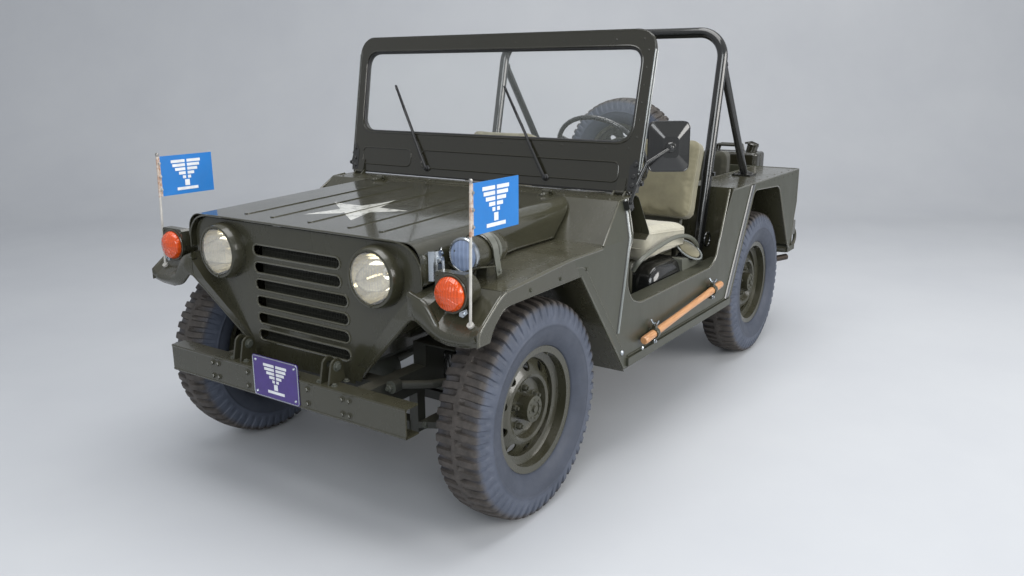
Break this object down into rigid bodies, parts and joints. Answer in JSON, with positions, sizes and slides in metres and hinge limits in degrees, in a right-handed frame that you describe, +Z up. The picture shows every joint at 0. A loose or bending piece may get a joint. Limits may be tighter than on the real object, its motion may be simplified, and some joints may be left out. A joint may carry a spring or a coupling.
{
  "type": "light 4x4 utility car",
  "caption": "Open light four-wheel-drive utility car with flat fenders, slotted grille, folding windshield, roll bar, spare wheel and fuel can.",
  "frame": {"origin": "on the ground below the middle of the overall length and width", "axes": "+X forward, +Y to the vehicle's left, +Z up"},
  "size_m": [3.3922, 1.7095, 1.705],
  "materials": {
    "green_paint": "glossy olive drab enamel over pressed steel",
    "black_paint": "gloss black enamel",
    "dark_steel": "satin dark green chassis paint",
    "cast_metal": "painted casting",
    "bare_steel": "heat-darkened steel tube",
    "tyre_rubber": "matt rubber with dusty sidewall",
    "canvas": "tan canvas cover",
    "clear_glass": "clear flat glass",
    "lamp_glass": "fluted headlamp glass over a silvered bowl",
    "blue_plate": "plain blue enamel",
    "purple_plate": "plain dark purple enamel",
    "handle_wood": "varnished ash"
  },
  "bodies": {
    "chassis": {"blackout_lamp": "black_paint", "body_left": "green_paint", "body_right": "green_paint", "bumper_plate": "purple_plate", "cowl": "green_paint", "driveline": "cast_metal", "driver_controls": "black_paint", "engine": "cast_metal", "exhaust": "bare_steel", "fender_left": "green_paint", "fender_right": "green_paint", "floor_pan": "green_paint", "front_bumper": "green_paint", "front_seat_backs": "canvas", "front_seat_cushions": "canvas", "fuel_tank": "black_paint", "grille_panel": "green_paint", "headlamps": "lamp_glass", "jerrycan": "green_paint", "marker_lamps": "green_paint", "mirror": "green_paint", "pennants": "blue_plate", "radiator": "black_paint", "rear_bumper": "green_paint", "rear_carriers": "green_paint", "rear_lamps": "green_paint", "rear_panel": "green_paint", "rear_seat_back": "canvas", "rear_seat_cushion": "canvas", "rim_spare": "green_paint", "roll_bar": "black_paint", "seat_frames": "dark_steel", "springs_and_dampers": "dark_steel", "suspension_arms": "dark_steel", "tool_handle": "handle_wood", "tyre_spare": "tyre_rubber", "underframe": "dark_steel", "wheelhouses": "green_paint"},
    "wheel_front_left": {"rim_front_left": "green_paint", "tyre_front_left": "tyre_rubber"},
    "wheel_front_right": {"rim_front_right": "green_paint", "tyre_front_right": "tyre_rubber"},
    "wheel_rear_left": {"rim_rear_left": "green_paint", "tyre_rear_left": "tyre_rubber"},
    "wheel_rear_right": {"rim_rear_right": "green_paint", "tyre_rear_right": "tyre_rubber"},
    "knuckle_left": {"knuckle_left": "dark_steel"},
    "knuckle_right": {"knuckle_right": "dark_steel"},
    "hood": {"hood": "green_paint"},
    "windshield": {"windshield_frame": "green_paint", "windshield_glass": "clear_glass", "wipers": "black_paint"},
    "steering": {"steering_wheel": "black_paint"}
  },
  "joints": [
    {"name": "steering_turn", "type": "hinge", "parent": "chassis", "child": "steering", "pos_m": [0.182, 0.3625, 1.145], "axis": [-0.8192, 0, 0.5736], "range_deg": [-360, 360]},
    {"name": "steer_left", "type": "hinge", "parent": "chassis", "child": "knuckle_left", "pos_m": [1.202, 0.5195, 0.384], "axis": [0, 0, 1], "range_deg": [-24, 24]},
    {"name": "steer_right", "type": "hinge", "parent": "chassis", "child": "knuckle_right", "pos_m": [1.202, -0.6245, 0.384], "axis": [0, 0, 1], "range_deg": [-24, 24]},
    {"name": "spin_front_left", "type": "hinge", "parent": "knuckle_left", "child": "wheel_front_left", "pos_m": [1.202, 0.6205, 0.384], "axis": [0, 1, 0], "continuous": true},
    {"name": "spin_front_right", "type": "hinge", "parent": "knuckle_right", "child": "wheel_front_right", "pos_m": [1.202, -0.7255, 0.384], "axis": [0, 1, 0], "continuous": true},
    {"name": "spin_rear_left", "type": "hinge", "parent": "chassis", "child": "wheel_rear_left", "pos_m": [-0.957, 0.6205, 0.384], "axis": [0, 1, 0], "continuous": true},
    {"name": "spin_rear_right", "type": "hinge", "parent": "chassis", "child": "wheel_rear_right", "pos_m": [-0.957, -0.7255, 0.384], "axis": [0, 1, 0], "continuous": true},
    {"name": "hood_hinge", "type": "hinge", "parent": "chassis", "child": "hood", "pos_m": [0.666, -0.0525, 1.047], "axis": [0, -1, 0], "range_deg": [0, 60]},
    {"name": "windshield_fold", "type": "hinge", "parent": "chassis", "child": "windshield", "pos_m": [0.538, -0.0525, 1.046], "axis": [0, -1, 0], "range_deg": [-95, 0]}
  ],
  "couplings": [
    {"joint": "steer_left", "follows": "steering_turn", "ratio": 0.066667},
    {"joint": "steer_right", "follows": "steering_turn", "ratio": 0.066667}
  ]
}
